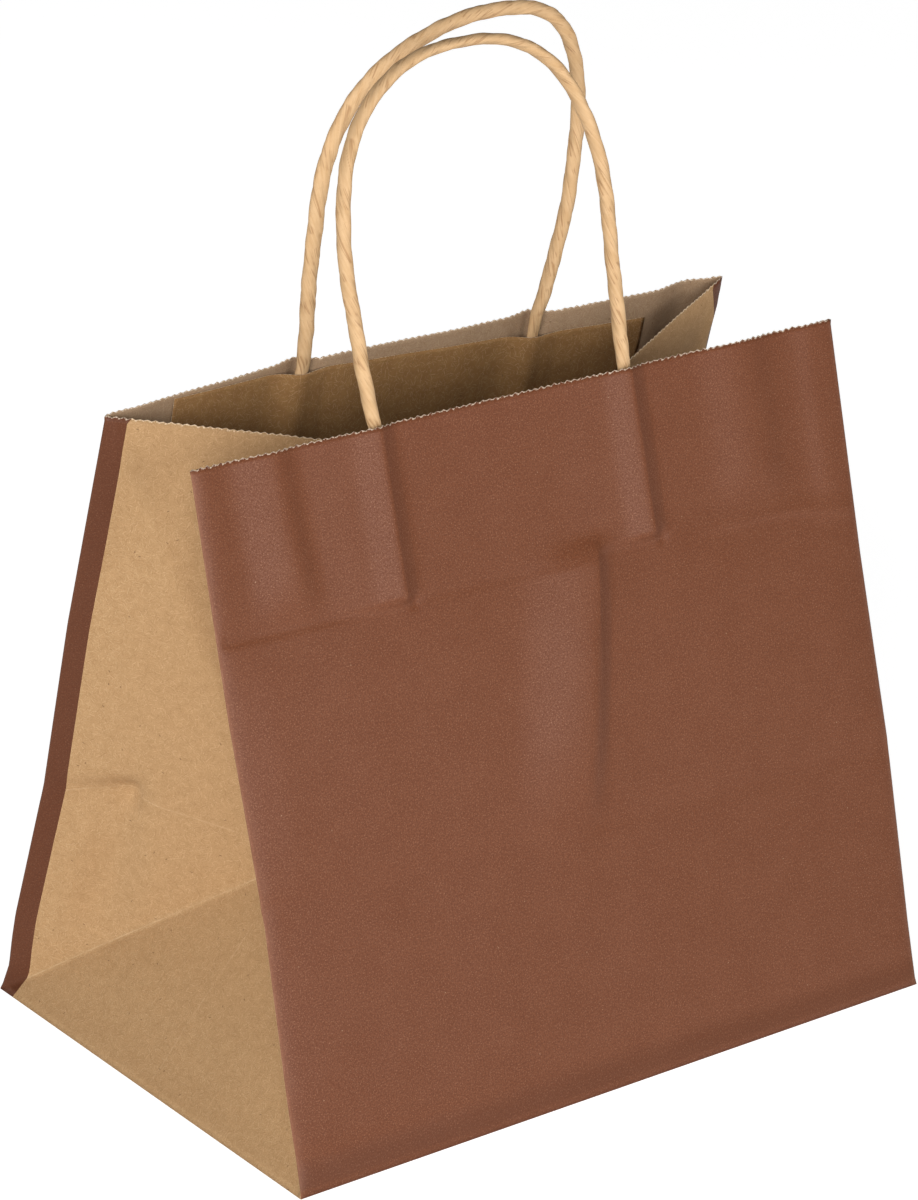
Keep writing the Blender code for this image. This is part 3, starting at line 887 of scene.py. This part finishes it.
def paper_cord(name, panel, material):
    """A strip of kraft twisted into a cord: a flattened tube with winding creases in its surface."""
    points = [unsteady(point, panel.facing) for point in even_points(handle_route(panel), CORD_STEP)]
    bm = bmesh.new()
    layout = bm.loops.layers.uv.new("flat_sheet")
    crease_layer = bm.verts.layers.float.new("twist_crease")
    rings = []
    flat = Vector((0.0, 1.0, 0.0))
    for i, point in enumerate(points):
        ahead = points[min(i + 1, len(points) - 1)] - points[max(i - 1, 0)]
        ahead.normalize()
        flat = (flat - ahead * flat.dot(ahead)).normalized()
        broad = ahead.cross(flat)
        run = i * CORD_STEP
        half_broad = panel.handle.half_width(i / (len(points) - 1))
        pressed = 1 - ease(point.z, PATCH_TOP - PRESSED_REACH[0], PATCH_TOP + PRESSED_REACH[1])
        half_flat = CORD_RADIUS**2 / half_broad * (1 - PRESSED_FLAT * pressed)
        ring = []
        for j in range(CORD_SIDES):
            angle = 2 * math.pi * j / CORD_SIDES
            turn = angle - 2 * math.pi * run / TWIST_PITCH
            share, crease = cord_surface(turn, run, panel.facing)
            reach = share / math.hypot(math.cos(angle) / half_flat, math.sin(angle) / half_broad)
            vertex = bm.verts.new(point + (flat * math.cos(angle) + broad * math.sin(angle)) * reach)
            vertex[crease_layer] = crease
            ring.append(vertex)
        rings.append(ring)
    for i, (near, far) in enumerate(zip(rings, rings[1:])):
        for j in range(CORD_SIDES):
            k = (j + 1) % CORD_SIDES
            face = bm.faces.new((near[j], near[k], far[k], far[j]))
            face.smooth = True
            corners = ((j, i), (j + 1, i), (j + 1, i + 1), (j, i + 1))
            for loop, (side, step) in zip(face.loops, corners):
                loop[layout].uv = unwound(2 * math.pi * side / CORD_SIDES, step * CORD_STEP)
    bm.faces.new(rings[0][::-1])
    bm.faces.new(rings[-1])
    bmesh.ops.recalc_face_normals(bm, faces=bm.faces)
    return add_piece(name, bm, (material,))


def unsteady(point, seed):
    """The hand of the winding machine: the cord wanders a little off its smooth curve."""
    above_mouth = ease(point.z, SIDE_FOLD, SIDE_FOLD + 0.02)
    spot = point * WANDERS_PER_METRE + Vector((0.0, 3.0 * seed, 0.0))
    # noise_vector starts from the clock, so each direction has a plain noise of its own
    wander = Vector([noise.noise(spot + Vector((0.0, 0.0, 20.3 * axis))) for axis in range(3)])
    return point + wander * CORD_WANDER * above_mouth


def unwound(angle, run):
    """A place on the strip that the cord is twisted from, with the winding taken out."""
    return (CORD_RADIUS * (angle - 2 * math.pi * run / TWIST_PITCH), run)


def cord_surface(turn, run, seed):
    """The cord's radius at one spot, as a share of its full radius, and how deep a crease is there."""
    depth = 0.0
    crease = 0.0
    for k, (place, deep, half_width) in enumerate(CORD_CREASES):
        wander = CREASE_WANDER * noise.noise(Vector((run * 45, k * 7.0, seed)))
        shown = ease(noise.noise(Vector((run * 70, k * 11.0 + 3.0, seed))), *CREASE_SHOWS)
        offset = (turn - place + wander + math.pi) % (2 * math.pi) - math.pi
        mark = shown * math.exp(-((offset / half_width) ** 2))
        depth += deep * mark
        crease = max(crease, mark * deep / CORD_CREASES[0][1])
    spot = Vector((math.cos(turn), math.sin(turn), run * 90 + 9 * seed))
    facet = BROAD_FACETS * math.cos(3 * turn + 2 * noise.noise(spot)) + FINE_FACETS * math.cos(7 * turn)
    return CORD_FULLNESS + facet - depth + CORD_UNEVEN * noise.noise(spot * 1.3), crease


class Wiring:
    """Adds nodes to one node tree and joins them."""

    def __init__(self, tree):
        self.tree = tree

    def node(self, kind, settings, inputs):
        node = self.tree.nodes.new("ShaderNode" + kind)
        for name, value in settings.items():
            setattr(node, name, value)
        for key, value in inputs.items():
            self.feed(node.inputs[key], value)
        return node

    def feed(self, socket, value):
        if isinstance(value, bpy.types.NodeSocket):
            self.tree.links.new(value, socket)
        else:
            socket.default_value = value

    def effect(self, group, inputs):
        """A node group placed here with its own values."""
        node = self.tree.nodes.new("ShaderNodeGroup")
        node.node_tree = group
        for name, value in inputs.items():
            self.feed(node.inputs[name], value)
        return node.outputs

    def math(self, operation, first, second=0.0):
        return self.node("Math", {"operation": operation}, {0: first, 1: second}).outputs[0]

    def product(self, first, *others):
        for other in others:
            first = self.math("MULTIPLY", first, other)
        return first

    def total(self, first, *others):
        for other in others:
            first = self.math("ADD", first, other)
        return first

    def apart(self, first, second):
        return self.math("ABSOLUTE", self.math("SUBTRACT", first, second))

    def vector(self, operation, first, second):
        return self.node("VectorMath", {"operation": operation}, {0: first, 1: second}).outputs[0]

    def rise(self, value, start, end, low=0.0, high=1.0):
        """A smooth change from low to high as value goes from start to end."""
        inputs = {"Value": value, "From Min": start, "From Max": end, "To Min": low, "To Max": high}
        return self.node("MapRange", {"interpolation_type": "SMOOTHSTEP"}, inputs).outputs[0]

    def mix(self, share, first, second):
        return self.node("Mix", {"data_type": "RGBA"}, {0: share, 6: first, 7: second}).outputs[2]

    def tint(self, base, share, strength, tone):
        """A tone laid over the base, by a share of 0 to 1 times a strength."""
        return self.mix(self.product(share, strength), base, colour(tone))

    def noise(self, place, size, detail):
        """Noise from 0 to 1 whose patches are about size across, in metres."""
        inputs = {"Vector": place, "Scale": 1.0 / size, "Detail": detail}
        return self.node("TexNoise", {}, inputs).outputs[0]

    def split(self, vector):
        return self.node("SeparateXYZ", {}, {0: vector}).outputs


def new_effect(name, numbers, results):
    """An empty node group that takes a place and named numbers, and gives named numbers."""
    group = bpy.data.node_groups.new(name, "ShaderNodeTree")
    group.interface.new_socket(name="Place", in_out="INPUT", socket_type="NodeSocketVector")
    for way, labels in (("INPUT", numbers), ("OUTPUT", results)):
        for label in labels:
            group.interface.new_socket(name=label, in_out=way, socket_type="NodeSocketFloat")
    given = group.nodes.new("NodeGroupInput").outputs
    result = group.nodes.new("NodeGroupOutput").inputs
    return group, Wiring(group), given, result


def loose_fibres():
    """Short curved fibres lying every way in the sheet, at most one to a cell of the given spacing."""
    group, wiring, given, result = new_effect(
        "loose_fibres", ("Spacing", "Length", "Thickness", "Amount"), ("Fibres",)
    )
    scaling = {0: given["Place"], "Scale": wiring.math("DIVIDE", 1.0, given["Spacing"])}
    cells = wiring.node("VectorMath", {"operation": "SCALE"}, scaling).outputs[0]
    cell = wiring.node("TexVoronoi", {"voronoi_dimensions": "2D"}, {"Vector": cells, "Scale": 1.0}).outputs
    chance = wiring.split(cell["Color"])
    turning = {"Vector": wiring.vector("SUBTRACT", cells, cell["Position"])}
    turning["Angle"] = wiring.product(chance[0], 2 * math.pi)
    turned = wiring.node("VectorRotate", {"rotation_type": "Z_AXIS"}, turning).outputs[0]
    along, across, _ = wiring.split(turned)
    curl = wiring.product(wiring.math("SUBTRACT", chance[1], 0.5), along, along, 0.9)
    from_middle = wiring.math("ABSOLUTE", wiring.total(across, curl))
    thin = wiring.rise(from_middle, given["Thickness"], 0.0)
    tip = wiring.product(given["Length"], 0.6)
    short = wiring.rise(wiring.math("ABSOLUTE", along), given["Length"], tip)
    present = wiring.math("LESS_THAN", chance[2], given["Amount"])
    wiring.feed(result["Fibres"], wiring.product(thin, short, present))
    return group


def paper_pulp():
    """The uneven look of a paper sheet: wide clouds, and a fine grain inside them."""
    group, wiring, given, result = new_effect(
        "paper_pulp", ("Clouds Per Metre", "Grains Per Metre"), ("Clouds", "Grain")
    )
    for label, count, detail in (("Clouds", "Clouds Per Metre", 3.0), ("Grain", "Grains Per Metre", 2.0)):
        inputs = {"Vector": given["Place"], "Scale": given[count], "Detail": detail}
        value = wiring.node("TexNoise", {}, inputs).outputs[0]
        wiring.feed(result[label], wiring.rise(value, 0.30, 0.70))
    return group


def sheet_folds():
    """Distances on the flat sheet, in metres: to the side folds and to the gussets' diagonal creases."""
    group, wiring, given, result = new_effect(
        "sheet_folds", (), ("From Gusset Middle", "To Side Fold", "To Diagonal", "Height")
    )
    along, height, _ = wiring.split(given["Place"])
    girth = 2 * (BAG_WIDTH + BAG_DEPTH)
    nearest = wiring.apart(along, BAG_WIDTH + HALF_DEPTH)
    for middle in (girth - HALF_DEPTH, -HALF_DEPTH):
        nearest = wiring.math("MINIMUM", nearest, wiring.apart(along, middle))
    inset = wiring.math("SUBTRACT", HALF_DEPTH, nearest)
    outside = wiring.math("LESS_THAN", inset, 0.0)
    diagonal = wiring.apart(inset, height)
    wiring.feed(result["From Gusset Middle"], nearest)
    wiring.feed(result["To Side Fold"], wiring.math("ABSOLUTE", inset))
    wiring.feed(result["To Diagonal"], wiring.total(diagonal, outside))
    wiring.feed(result["Height"], height)
    return group


def wear_and_highlight_line():
    """Wear along a crease, which on the gussets also stands for a painted highlight: 1 on the line, broken
    up along it.
    """
    group, wiring, given, result = new_effect(
        "wear_and_highlight_line", ("Distance", "Width", "Patches Per Metre"), ("Wear And Highlight",)
    )
    inputs = {"Vector": given["Place"], "Scale": given["Patches Per Metre"], "Detail": 3.0}
    patches = wiring.rise(wiring.node("TexNoise", {}, inputs).outputs[0], 0.35, 0.65)
    line = wiring.rise(given["Distance"], given["Width"], 0.0)
    broken = wiring.total(0.25, wiring.product(patches, 0.75))
    wiring.feed(result["Wear And Highlight"], wiring.product(line, broken))
    return group


class PaperEffects:
    """The node groups that the papers share, each built once."""

    def __init__(self):
        self.fibres = loose_fibres()
        self.pulp = paper_pulp()
        self.folds = sheet_folds()
        self.wear_and_highlight = wear_and_highlight_line()


def colour(tone):
    return (*tone, 1.0)


def grey(value):
    return (value, value, value, 1.0)


def new_material(name, roughness, specular):
    """A material, and the inputs of its shader."""
    material = bpy.data.materials.new(name)
    material.use_nodes = True
    inputs = material.node_tree.nodes["Principled BSDF"].inputs
    inputs["Roughness"].default_value = roughness
    inputs["Specular IOR Level"].default_value = specular
    return material, inputs


class Paper(Wiring):
    """One paper's material, with its place on the flat sheet in metres."""

    def __init__(self, name, effects, roughness, specular):
        self.material, self.inputs = new_material(name, roughness, specular)
        super().__init__(self.material.node_tree)
        self.effects = effects
        self.place = self.node("UVMap", {"uv_map": "flat_sheet"}, {}).outputs[0]

    def pulp(self, clouds, grains):
        inputs = {"Place": self.place, "Clouds Per Metre": clouds, "Grains Per Metre": grains}
        return self.effect(self.effects.pulp, inputs)

    def fibres(self, spacing, length, thickness, amount, shift=0.0):
        """Fibres or specks strewn over the sheet, with lengths and thicknesses as shares of the spacing."""
        inputs = {
            "Place": self.vector("ADD", self.place, (shift, shift, 0.0)),
            "Spacing": spacing,
            "Length": length,
            "Thickness": thickness,
            "Amount": amount,
        }
        return self.effect(self.effects.fibres, inputs)["Fibres"]

    def folds(self):
        return self.effect(self.effects.folds, {"Place": self.place})

    def wear_and_highlight(self, distance, width, patches):
        inputs = {"Place": self.place, "Distance": distance, "Width": width, "Patches Per Metre": patches}
        return self.effect(self.effects.wear_and_highlight, inputs)["Wear And Highlight"]

    def torn(self, base, tone):
        """Torn paper shows at the toothed cut, in crumbs."""
        near_cut = self.node("Attribute", {"attribute_name": "raw_edge"}, {}).outputs["Fac"]
        crumbs = self.noise(self.place, 0.0007, 2.0)
        share = self.rise(self.total(near_cut, self.product(crumbs, 0.9)), 1.24, 1.42)
        return self.mix(share, base, colour(tone))

    def finish(self, shade, roughness, relief, millimetres):
        """Joins up the shader, whose surface rises by the relief times so many millimetres."""
        bump = {"Height": relief, "Distance": millimetres / 1000, "Strength": 1.0}
        self.feed(self.inputs["Base Color"], shade)
        self.feed(self.inputs["Roughness"], roughness)
        self.feed(self.inputs["Normal"], self.node("Bump", {}, bump).outputs[0])
        return self.material


def printed_brown(effects):
    """Brown print over kraft, mottled by its pulp and scuffed along the folds, with painted sheen beside
    the folds and painted shade along the foot and on the strips that wrap onto the gussets.
    """
    paper = Paper("printed_brown", effects, 0.45, 0.21)
    pulp = paper.pulp(90.0, 1700.0)
    fibres = paper.fibres(0.0024, 0.6, 0.09, 0.55)
    folds = paper.folds()
    flecks = paper.rise(paper.noise(paper.place, 0.00042, 1.0), 0.56, 0.76)
    # Painted shade in a band along the foot: none at the very bottom, full from 3 to 4 mm up, gone by 12.5
    # mm.
    pressed = paper.rise(folds["Height"], 0.0008, 0.0030)
    pressed = paper.product(pressed, paper.rise(folds["Height"], 0.0125, 0.0040))
    # Painted shade on the print strips that wrap round the back folds onto the gussets.
    on_gusset = paper.math("LESS_THAN", folds["From Gusset Middle"], HALF_DEPTH)
    on_panel = paper.math("SUBTRACT", 1.0, on_gusset)
    # Painted sheen on a strip of the panels beside each side fold, of uneven width.
    uneven = paper.product(paper.noise(paper.place, 0.012, 3.0), 2 * FOLD_SHEEN_STRIP)
    fold_sheen = paper.product(paper.rise(folds["To Side Fold"], uneven, 0.0), on_panel)
    ink = paper.mix(pulp["Clouds"], colour(INK), colour(INK_THIN))
    for share, strength, tone in (
        (pulp["Grain"], 0.55, INK_DEEP),
        (flecks, 0.60, INK_FLECK),
        (fibres, 0.10, INK_FIBRE),
        (paper.wear_and_highlight(folds["To Side Fold"], 0.0011, 160.0), 0.30, INK_RUBBED),
        (paper.fibres(0.0085, 0.03, 0.025, 0.025), 0.5, PINHOLE),
        (pressed, 0.42, INK_FOOT_SHADE),
        (fold_sheen, 0.11, INK_FOLD_SHEEN),
        (on_gusset, 0.52, INK_GUSSET_SHADE),
    ):
        ink = paper.tint(ink, share, strength, tone)
    roughness = paper.rise(pulp["Grain"], 0.0, 1.0, 0.38, 0.52)
    relief = paper.total(pulp["Grain"], paper.product(fibres, 0.4), paper.product(flecks, 0.6))
    return paper.finish(paper.torn(ink, TORN_PRINT), roughness, relief, 0.012)


def bare_kraft(name, effects, tones, fibre_tones):
    """Unprinted kraft: clouds of two browns with light and dark fibres lying every way."""
    paper = Paper(name, effects, 0.85, 0.2)
    pulp = paper.pulp(260.0, 2300.0)
    shade = paper.mix(pulp["Clouds"], colour(tones[1]), colour(tones[0]))
    shade = paper.tint(shade, pulp["Grain"], 0.30, fibre_tones[1])
    relief = pulp["Grain"]
    for spacing, shift, tone, share in KRAFT_FIBRES:
        fibres = paper.fibres(spacing, 0.65, 0.10, 0.62, shift)
        shade = paper.tint(shade, fibres, share, fibre_tones[tone])
        relief = paper.total(relief, paper.product(fibres, 0.6))
    shade = paper.tint(shade, paper.fibres(0.0074, 0.06, 0.035, 0.25), 0.75, BARK_SPECK)
    return paper, shade, relief


def gusset_kraft(effects):
    """The kraft outside of the gussets, with lighter lines along its creases that are partly scuffed paper
    and partly painted highlight.
    """
    paper, shade, relief = bare_kraft("gusset_kraft", effects, GUSSET_TONES, GUSSET_FIBRES)
    folds = paper.folds()
    inset = paper.math("SUBTRACT", HALF_DEPTH, folds["From Gusset Middle"])
    fold_up = paper.rise(inset, 0.0, PINCH_INSET, PINCH_START, PINCH_HEIGHT)
    # Lighter lines along the gusset creases: scuffed kraft with a painted highlight.
    for distance, width, share in (
        (folds["To Diagonal"], 0.0006, 0.26),
        (paper.apart(folds["Height"], fold_up), 0.0005, 0.18),
        (folds["From Gusset Middle"], 0.0005, 0.14),
        (folds["To Side Fold"], 0.0008, 0.30),
    ):
        shade = paper.tint(shade, paper.wear_and_highlight(distance, width, 110.0), share, GUSSET_WEAR_AND_HIGHLIGHT)
    roughness = paper.rise(relief, 0.0, 2.0, 0.88, 0.76)
    return paper.finish(paper.torn(shade, TORN_GUSSET), roughness, relief, 0.02)


def lining_kraft(name, effects, tones):
    """The inside of the sheet, or a glued patch, darker than the same kraft outside: partly its own tone,
    partly painted shade of the bag's inside.
    """
    paper, shade, relief = bare_kraft(name, effects, tones, LINING_FIBRES_WITH_SHADE)
    roughness = paper.rise(relief, 0.0, 2.0, 0.90, 0.80)
    return paper.finish(paper.torn(shade, TORN_LINING), roughness, relief, 0.02)


def cut_edge(effects):
    """The raw paper across its thickness, frayed by the blade."""
    paper = Paper("cut_edge", effects, 0.95, 0.1)
    crumbs = paper.rise(paper.noise(paper.place, 0.0008, 3.0), 0.35, 0.65)
    shade = paper.mix(crumbs, colour(TORN_DARK), colour(TORN_LIGHT))
    return paper.finish(shade, paper.rise(crumbs, 0.0, 1.0, 0.98, 0.88), crumbs, 0.05)


def cord_kraft(effects):
    """Pale kraft wound into a cord: streaks, and hairline and twist creases along the winding with painted
    shade in them.
    """
    paper = Paper("cord_kraft", effects, 0.7, 0.25)
    stretched = paper.vector("MULTIPLY", paper.place, (1.0, 0.07, 1.0))
    streaks = paper.rise(paper.noise(stretched, 0.0007, 3.0), 0.32, 0.68)
    ripple = paper.apart(paper.noise(stretched, 0.0015, 1.0), 0.5)
    shown = paper.rise(paper.noise(paper.place, 0.0060, 1.0), 0.48, 0.56)
    hairlines = paper.product(paper.rise(ripple, 0.045, 0.0), shown)
    pulp = paper.pulp(180.0, 1500.0)
    crease = paper.node("Attribute", {"attribute_name": "twist_crease"}, {}).outputs["Fac"]
    shade = paper.mix(pulp["Clouds"], colour(CORD_TONES[1]), colour(CORD_TONES[0]))
    for share, strength, tone in (
        (streaks, 0.30, CORD_STREAK),
        (paper.fibres(0.0016, 0.65, 0.09, 0.6), 0.22, CORD_FIBRE),
        # Painted shade in the hairline creases, and in the twist creases below.
        (hairlines, 0.62, CORD_HAIRLINE_SHADE),
        (paper.rise(crease, 0.35, 1.0), 0.60, CORD_SHADOW),
    ):
        shade = paper.tint(shade, share, strength, tone)
    relief = paper.total(paper.product(streaks, 0.8), paper.product(pulp["Grain"], 0.3))
    relief = paper.math("SUBTRACT", relief, paper.product(hairlines, 0.8))
    return paper.finish(shade, paper.rise(streaks, 0.0, 1.0, 0.76, 0.62), relief, 0.035)


def pale_floor():
    """Smooth matt board under the bag. It is seen a little brighter than the light it gives off."""
    material, inputs = new_material("pale_floor", 0.9, 0.1)
    wiring = Wiring(material.node_tree)
    speckle = wiring.noise(wiring.node("TexCoord", {}, {}).outputs["Object"], 0.004, 2.0)
    seen = wiring.node("LightPath", {}, {}).outputs["Is Camera Ray"]
    wiring.feed(inputs["Base Color"], wiring.mix(speckle, grey(0.48), grey(0.52)))
    wiring.feed(inputs["Emission Color"], wiring.mix(seen, grey(FLOOR_GLOW), grey(FLOOR_GLOW_SEEN)))
    inputs["Emission Strength"].default_value = 1.0
    return material


def sky_light():
    """White walls, brightest before the bag and dim behind it and overhead."""
    world = bpy.data.worlds.new("studio")
    world.use_nodes = True
    wiring = Wiring(world.node_tree)
    towards = wiring.node("TexCoord", {}, {}).outputs["Generated"]
    upward = wiring.split(towards)[2]
    facing = wiring.node("VectorMath", {"operation": "DOT_PRODUCT"}, {0: towards, 1: BRIGHT_SIDE})
    wall = wiring.rise(facing.outputs["Value"], -0.8, 0.9, BACK_LIGHT, WALL_LIGHT)
    background = world.node_tree.nodes["Background"]
    background.inputs["Color"].default_value = grey(1.0)
    wiring.feed(background.inputs["Strength"], wiring.rise(upward, 0.0, 0.9, wall, CEILING_LIGHT))
    bpy.context.scene.world = world


def studio():
    """The pale floor, the lights and the camera."""
    bpy.ops.mesh.primitive_plane_add(size=FLOOR_SIZE, location=(0.0, 0.0, 0.0))
    floor = bpy.context.object
    floor.name = "floor"
    floor.data.materials.append(pale_floor())
    sky_light()
    for name, place, size, power in LIGHTS:
        aim = Vector(LIGHT_AIM) - Vector(place)
        light = bpy.data.lights.new(name, "AREA")
        light.size = size
        light.energy = power
        lamp = new_object(name, light)
        lamp.location = place
        lamp.rotation_euler = aim.to_track_quat("-Z", "Y").to_euler()
    camera = bpy.data.cameras.new("camera")
    camera.lens = CAMERA_LENS
    camera.sensor_width = 36.0
    view = new_object("camera", camera)
    place = Vector(CAMERA_PLACE)
    aim = (Vector(CAMERA_AIM) - place).to_track_quat("-Z", "Y")
    roll = Matrix.Rotation(math.radians(CAMERA_ROLL), 4, "Z")
    view.matrix_world = Matrix.Translation(place) @ aim.to_matrix().to_4x4() @ roll
    bpy.context.scene.camera = view
    bpy.context.scene.view_settings.view_transform = "Standard"


def main():
    effects = PaperEffects()
    raw = cut_edge(effects)
    inside_print = lining_kraft("inside_of_print", effects, INSIDE_PRINT_TONES_WITH_SHADE)
    inside_gusset = lining_kraft("inside_of_gusset", effects, INSIDE_GUSSET_TONES_WITH_SHADE)
    patch_kraft = lining_kraft("patch_kraft", effects, PATCH_TONES_WITH_SHADE)
    cord_finish = cord_kraft(effects)
    sheet = bag_body((printed_brown(effects), gusset_kraft(effects), inside_print, inside_gusset, raw))
    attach(sheet, "root")
    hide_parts("bag_body")
    for name, panel in (("front", FRONT), ("back", BACK)):
        strip = patch(name + "_patch", panel, (patch_kraft, raw))
        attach(strip, "root")
        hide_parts(name + "_handle_patch")
        cord = paper_cord(name + "_cord", panel, cord_finish)
        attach(cord, "root")
        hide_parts(name + "_handle")
    studio()


main()
